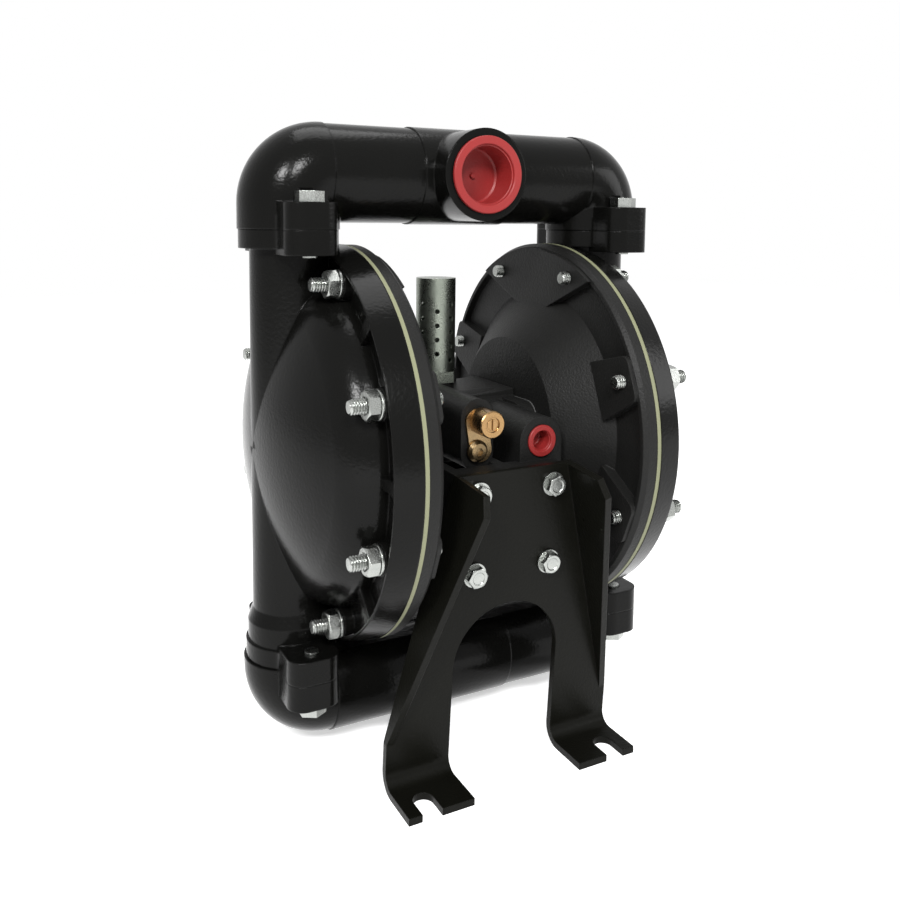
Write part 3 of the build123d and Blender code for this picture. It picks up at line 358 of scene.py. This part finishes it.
def build_ring_tree():
    """Pieces set round the rod's axis, the same ring on both sides of the pump, each turned by chance."""
    tree = bpy.data.node_groups.new("ring_of_pieces", "GeometryNodeTree")
    tree.interface.new_socket("Geometry", in_out="OUTPUT", socket_type="NodeSocketGeometry")
    for name, kind in (
        ("Piece", "NodeSocketObject"), ("Count A Side", "NodeSocketInt"), ("Ring Radius", "NodeSocketFloat"),
        ("Axis Height", "NodeSocketFloat"), ("Turn Spread", "NodeSocketFloat"), ("Seed", "NodeSocketInt"),
        ("Finish", "NodeSocketMaterial"),
    ):
        tree.interface.new_socket(name, in_out="INPUT", socket_type=kind)
    new, link = tree.nodes.new, tree.links.new
    given, result = new("NodeGroupInput"), new("NodeGroupOutput")

    def maths(operation, first, second):
        node = new("ShaderNodeMath")
        node.operation = operation
        for socket, value in zip(node.inputs, (first, second)):
            if isinstance(value, (int, float)):
                socket.default_value = value
            elif value is not None:
                link(value, socket)
        return node.outputs[0]

    index = new("GeometryNodeInputIndex").outputs[0]
    side = maths("MODULO", index, 2)
    place = maths("ADD", maths("FLOOR", maths("DIVIDE", index, 2), None), 0.5)
    angle = maths("MULTIPLY", place, maths("DIVIDE", 2 * math.pi, given.outputs["Count A Side"]))
    spot = new("ShaderNodeCombineXYZ")
    link(maths("MULTIPLY", given.outputs["Ring Radius"], maths("COSINE", angle, None)), spot.inputs["Y"])
    rise = maths("MULTIPLY", given.outputs["Ring Radius"], maths("SINE", angle, None))
    link(maths("ADD", rise, given.outputs["Axis Height"]), spot.inputs["Z"])
    chance = new("FunctionNodeRandomValue")
    chance.data_type = "FLOAT"
    link(given.outputs["Turn Spread"], chance.inputs[3])
    link(given.outputs["Seed"], chance.inputs["Seed"])
    turn, spin = new("ShaderNodeCombineXYZ"), new("FunctionNodeEulerToRotation")
    link(chance.outputs[1], turn.inputs["X"])
    link(maths("MULTIPLY", side, math.pi), turn.inputs["Z"])
    link(turn.outputs[0], spin.inputs[0])
    spots, piece = new("GeometryNodePoints"), new("GeometryNodeObjectInfo")
    copies = new("GeometryNodeInstanceOnPoints")
    link(maths("MULTIPLY", given.outputs["Count A Side"], 2), spots.inputs["Count"])
    link(spot.outputs[0], spots.inputs["Position"])
    link(given.outputs["Piece"], piece.inputs["Object"])
    link(spots.outputs[0], copies.inputs["Points"])
    link(piece.outputs["Geometry"], copies.inputs["Instance"])
    link(spin.outputs[0], copies.inputs["Rotation"])
    real, painted = new("GeometryNodeRealizeInstances"), new("GeometryNodeSetMaterial")
    link(copies.outputs[0], real.inputs[0])
    link(real.outputs[0], painted.inputs["Geometry"])
    link(given.outputs["Finish"], painted.inputs["Material"])
    link(painted.outputs[0], result.inputs[0])
    return tree


ring_tree = build_ring_tree()


def ring(name, mesh, turn_spread, seed, node):
    """One object with the pieces of both clamp rings, in place of their CAD node."""
    single = bpy.data.objects.new(name + "_single", mesh)
    holder = bpy.data.objects.new(name + "_holder", bpy.data.meshes.new(name + "_holder"))
    for item in (single, holder):
        bpy.context.collection.objects.link(item)
    modifier = holder.modifiers.new("ring", "NODES")
    modifier.node_group = ring_tree
    values = {
        "Piece": single, "Count A Side": stud_count, "Ring Radius": stud_circle, "Axis Height": rod_height,
        "Turn Spread": turn_spread, "Seed": seed, "Finish": zinc,
    }
    for socket in ring_tree.interface.items_tree:
        if socket.name in values:
            modifier[socket.identifier] = values[socket.name]
    bpy.context.view_layer.update()
    evaluated = holder.evaluated_get(bpy.context.evaluated_depsgraph_get())
    made = bpy.data.objects.new(name, bpy.data.meshes.new_from_object(evaluated))
    made.data.name = name
    bpy.context.collection.objects.link(made)
    for item in (holder, single):
        bpy.data.objects.remove(item)
    stand_for(node, made, "pump")


any_turn = 6.28
one_side_turn = 1.05
stud_count = 8
stud_circle = 0.125
rod_height = 0.224
stud_length = 0.0615
thread_radius = 0.005
thread_pitch = 0.0018
thread_depth = 0.0012
flank_slope = 1.5
flat_share = 0.25
stud_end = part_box("rim_studs")[1][0]
rows_a_turn = 5
stud_steps = 20


def thread_rule(place):
    """Radius of a screw thread at one place along the stud, with a tapered start at both ends."""
    end_room = min(place, stud_length - place)
    crest = thread_radius - max(0, thread_depth - end_room)

    def rule(angle):
        phase = (place / thread_pitch - angle / (2 * math.pi)) % 1
        wave = min(1, max(0, abs(2 * phase - 1) * flank_slope - flat_share))
        return min(crest, thread_radius - thread_depth * wave)

    return rule


stud_rows = []
row_count = round(stud_length / thread_pitch) * rows_a_turn
for row in range(row_count + 1):
    place = row * stud_length / row_count
    stud_rows.append((stud_end - stud_length + place, thread_rule(place)))
ring("rim_studs_threaded", lathe("stud", stud_rows, stud_steps), any_turn, 3, "rim_studs")

nut_half = 0.0085
nut_hole = 0.00515
nut_height = 0.008
nut_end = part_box("rim_nuts")[1][0]
face_share = 0.96
chamfer_slope = math.tan(math.radians(30))


def hex_side(half):
    """Rule for the side of a hexagon, from half its width across flats."""
    return lambda angle: half / math.cos((angle + math.pi / 6) % (math.pi / 3) - math.pi / 6)


def corner(half, face, inward):
    """Rule for the edge where the turned chamfer meets the hexagon, inward of a face."""
    return lambda angle: face + inward * (hex_side(half)(angle) - half * face_share) * chamfer_slope


lead = 0.0008
nut_seat = nut_end - nut_height
face_circle = nut_half * face_share
nut_rows = [
    (nut_seat + lead, nut_hole), (nut_seat, nut_hole + lead), (nut_seat, face_circle),
    (corner(nut_half, nut_seat, 1), hex_side(nut_half)), (corner(nut_half, nut_end, -1), hex_side(nut_half)),
    (nut_end, face_circle), (nut_end, nut_hole + lead), (nut_end - lead, nut_hole),
]
hex_steps = 48
ring("rim_nuts_chamfered", lathe("nut", nut_rows, hex_steps, closed=True), one_side_turn, 11, "rim_nuts")

washer_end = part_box("rim_washers")[1][0]
washer_thickness = 0.002
washer_radius = 0.0098
washer_edge = 0.0004
washer_seat = washer_end - washer_thickness
washer_steps = 40
washer_rows = [
    (washer_seat, nut_hole), (washer_seat, washer_radius - washer_edge),
    (washer_seat + washer_edge, washer_radius), (washer_end - washer_edge, washer_radius),
    (washer_end, washer_radius - washer_edge), (washer_end, nut_hole),
]
washer = lathe("washer", washer_rows, washer_steps, closed=True)
ring("rim_washers_rounded", washer, any_turn, 5, "rim_washers")

# ---------------------------------------------------------------- rod, plates, bearings and balls
# Ground stainless rod and liquid side plates, bronze bushes and sleeve, and moulded polymer balls
# on polymer seats. They run inside the housings.

stainless = finish(
    "ground_stainless", (0.66, 0.67, 0.68), (0.56, 0.57, 0.58), roughness=0.22, spread=0.12,
    drift_scale=60, grain_scale=900, depth=0.00005, metallic=1.0, edge=0.0003, stretch=(14, 1, 1),
)
dress(
    stainless, "diaphragm_rod", "outer_plate_left", "outer_plate_right", "plate_bolts", "pilot_pin",
    "air_valve_spool",
)
bronze = finish(
    "plain_bronze", (0.46, 0.28, 0.12), (0.34, 0.2, 0.09), roughness=0.38, spread=0.2,
    drift_scale=80, grain_scale=900, depth=0.0001, metallic=1.0, edge=0.0003,
)
dress(bronze, "rod_bushes", "air_valve_sleeve")
polymer = finish(
    "ball_polymer", (0.72, 0.69, 0.58), (0.62, 0.59, 0.48), roughness=0.5, spread=0.15,
    drift_scale=50, grain_scale=800, depth=0.0001, edge=0.0003,
)
dress(
    polymer, "outlet_ball_left", "outlet_ball_right", "inlet_ball_left", "inlet_ball_right",
    "outlet_seats", "inlet_seats",
)

# ---------------------------------------------------------------- air valve
# Machined aluminium block at the rear, with the spool in its sleeve behind two end plugs. Socket
# screws hold it to the centre body over a gasket.

aluminium = finish(
    "machined_aluminium", (0.30, 0.31, 0.32), (0.24, 0.25, 0.26), roughness=0.42, spread=0.2,
    drift_scale=30, grain_scale=1200, depth=0.0001, metallic=1.0, edge=0.0006, stretch=(1, 1, 10),
)
dress(aluminium, "air_valve_body", "air_valve_caps")

# ---------------------------------------------------------------- exhaust muffler
# Rolled steel tube with drilled holes on a hexagon, both with a dull olive zinc plate. The
# hexagon's neck screws into the top of the centre body.

muffler_plate = finish(
    "dull_zinc", (0.26, 0.28, 0.24), (0.17, 0.19, 0.16), roughness=0.3, spread=0.2,
    drift_scale=70, grain_scale=1100, depth=0.0002, metallic=1.0, edge=0.0004,
)
dress(muffler_plate, "muffler_tube", "muffler_base")

# ---------------------------------------------------------------- bleed valve
# Turned brass valve with a slotted needle, on a boss at the front of the centre body. A yellow
# passivated strap behind it is held by a button head screw.

brass = finish(
    "turned_brass", (0.33, 0.20, 0.09), (0.26, 0.16, 0.07), roughness=0.26, spread=0.2,
    drift_scale=90, grain_scale=1500, depth=0.0001, metallic=1.0, edge=0.0003,
)
dress(brass, "bleed_valve", "bleed_needle")


def on_front(low, high):
    """Turns a shape from the X axis to face the front, in the middle of a box and on its front face."""
    middle = Vector(((low[0] + high[0]) / 2, low[1], (low[2] + high[2]) / 2))
    return Matrix.Translation(middle) @ Matrix.Rotation(math.pi / 2, 4, "Z")


valve_low, valve_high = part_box("bleed_valve")
valve_radius = 0.0095
valve_edge = 0.0008
valve_bore = 0.0039
valve_sink = 0.0052
sink_depth = 0.00128
valve_depth = 0.013
neck_radius = 0.006
neck_length = 0.0125
valve_length = valve_high[1] - valve_low[1]
shoulder = valve_length - neck_length
valve_lead = valve_edge / 4
valve_rows = [
    (valve_depth, valve_bore), (sink_depth, valve_bore), (sink_depth, valve_sink), (valve_lead, valve_sink),
    (0, valve_sink + valve_lead), (0, valve_radius - valve_edge), (valve_edge, valve_radius),
    (shoulder, valve_radius), (shoulder, neck_radius), (valve_length, neck_radius),
]
valve_steps = 64
valve_mesh = lathe("bleed_valve_turned", valve_rows, valve_steps)
valve_mesh.transform(on_front(valve_low, valve_high))
valve_mesh.materials.append(brass)
valve = bpy.data.objects.new("bleed_valve_turned", valve_mesh)
bpy.context.collection.objects.link(valve)
stand_for("bleed_valve", valve, "pump")
passivated = finish(
    "yellow_passivated", (0.25, 0.16, 0.075), (0.20, 0.155, 0.09), roughness=0.3, spread=0.2,
    drift_scale=120, grain_scale=1300, depth=0.0001, metallic=1.0, edge=0.0003,
)
dress(passivated, "bleed_strap", "strap_screw")

# ---------------------------------------------------------------- legs
# Folded 5 mm steel plate with a semi-matt black paint, one bracket at the front and one at the
# rear. Each has an arch, side gussets and slotted feet.

leg_paint = finish(
    "leg_paint", (0.0026, 0.0026, 0.0019), (0.0045, 0.0045, 0.0034), roughness=0.33, spread=0.16,
    drift_scale=20, grain_scale=500, depth=0.0002, shine=0.07, edge=0.0009,
)
dress(leg_paint, "leg_front", "leg_rear")

# ---------------------------------------------------------------- leg bolts
# M8 hexagon bolts with a chamfered head and a shallow dish forged into its face, bright zinc plated.
# Four hold each bracket to the skirt of the centre body.

bolt_half = 0.0065
bolt_head = 0.0055
bolt_shank = 0.004
bolt_length = 0.0271
bolt_dish = 0.0046
dish_depth = 0.0006
bolt_stand = 0.0071
turn_across = 40
turn_down = 9
bolt_across = 0.0295
bolt_top = rod_height - 0.0227
bolt_pitch = 0.057
bracket_face = 0.0983
bracket_lean = math.radians(4.6)
bolt_rows = [
    (dish_depth, bolt_dish - dish_depth), (0, bolt_dish), (0, bolt_half * face_share),
    (corner(bolt_half, 0, 1), hex_side(bolt_half)), (bolt_head, hex_side(bolt_half)),
    (bolt_head, bolt_shank), (bolt_length, bolt_shank),
]
bolt_set = bmesh.new()
for side in (-1, 1):
    for across in (-bolt_across, bolt_across):
        for drop in (0, bolt_pitch):
            bolt = lathe("leg_bolt", bolt_rows, hex_steps)
            bolt.transform(
                Matrix.Translation((across, side * bracket_face, bolt_top))
                @ Matrix.Rotation(-side * bracket_lean, 4, "X")
                @ Matrix.Translation((0, side * bolt_stand, -drop))
                @ Matrix.Rotation(-side * math.pi / 2, 4, "Z")
                @ Matrix.Rotation(across * turn_across + drop * turn_down + side, 4, "X")
            )
            bolt_set.from_mesh(bolt)
bolt_mesh = bpy.data.meshes.new("leg_bolts_chamfered")
bolt_set.to_mesh(bolt_mesh)
bolt_set.free()
soften(bolt_mesh)
bolt_mesh.materials.append(zinc)
leg_bolts = bpy.data.objects.new("leg_bolts_chamfered", bolt_mesh)
bpy.context.collection.objects.link(leg_bolts)
stand_for("leg_bolts", leg_bolts, "pump")

# ---------------------------------------------------------------- port plugs
# Thin walled red polyethylene plugs that keep the outlet and the air inlet clean in transit. They
# are moulded in one piece and pushed in up to their flange.

red_plastic = finish(
    "red_polyethylene", (0.21, 0.015, 0.014), (0.17, 0.011, 0.011), roughness=0.42, spread=0.15,
    drift_scale=45, grain_scale=700, depth=0.00015, shine=0.3, edge=0.0006,
)

# Shares of a plug's flange, rounded edge, floor and gate mark.
edge_share = 0.2
rebate_start = 0.8
rebate_end = 0.9
rebate_depth = 1.6
corner_start = 1.5
corner_end = 1.6
pip_taper = 0.8


def plug(name, node, body, flange_radius, flange, depth, mouth, end, lip, floor_skin, pip):
    """Cup with a flange, a rebate inside its lip and a small gate mark in the middle of its floor."""
    total = flange + depth
    round_edge = flange * edge_share
    floor_face = total - floor_skin
    rows = [
        (total, end * 0.5), (total, end - round_edge), (total - round_edge, end), (flange, mouth),
        (flange, flange_radius - round_edge), (flange - round_edge, flange_radius),
        (round_edge, flange_radius),
        (0, flange_radius - round_edge), (0, lip + round_edge), (round_edge, lip),
        (flange * rebate_start, lip - round_edge / 2),
        (flange * rebate_end, lip - round_edge * rebate_depth),
        (total - floor_skin * corner_start, end - floor_skin),
        (floor_face, end - floor_skin * corner_end), (floor_face, pip),
        (floor_face - pip, pip * pip_taper),
    ]
    mesh = lathe(name, rows, plug_steps)
    mesh.transform(on_front(*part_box(node)))
    mesh.materials.append(red_plastic)
    made = bpy.data.objects.new(name, mesh)
    bpy.context.collection.objects.link(made)
    stand_for(node, made, body)


plug_steps = 72
plug(
    "outlet_plug", "outlet_port_cap", "outlet_cap", flange_radius=0.0272, flange=0.003, depth=0.024,
    mouth=0.0236, end=0.0224, lip=0.0212, floor_skin=0.0022, pip=0.0022,
)
plug(
    "air_inlet_plug", "air_inlet_cap", "inlet_cap", flange_radius=0.0114, flange=0.002, depth=0.012,
    mouth=0.00803, end=0.00683, lip=0.0074, floor_skin=0.0010, pip=0.0010,
)
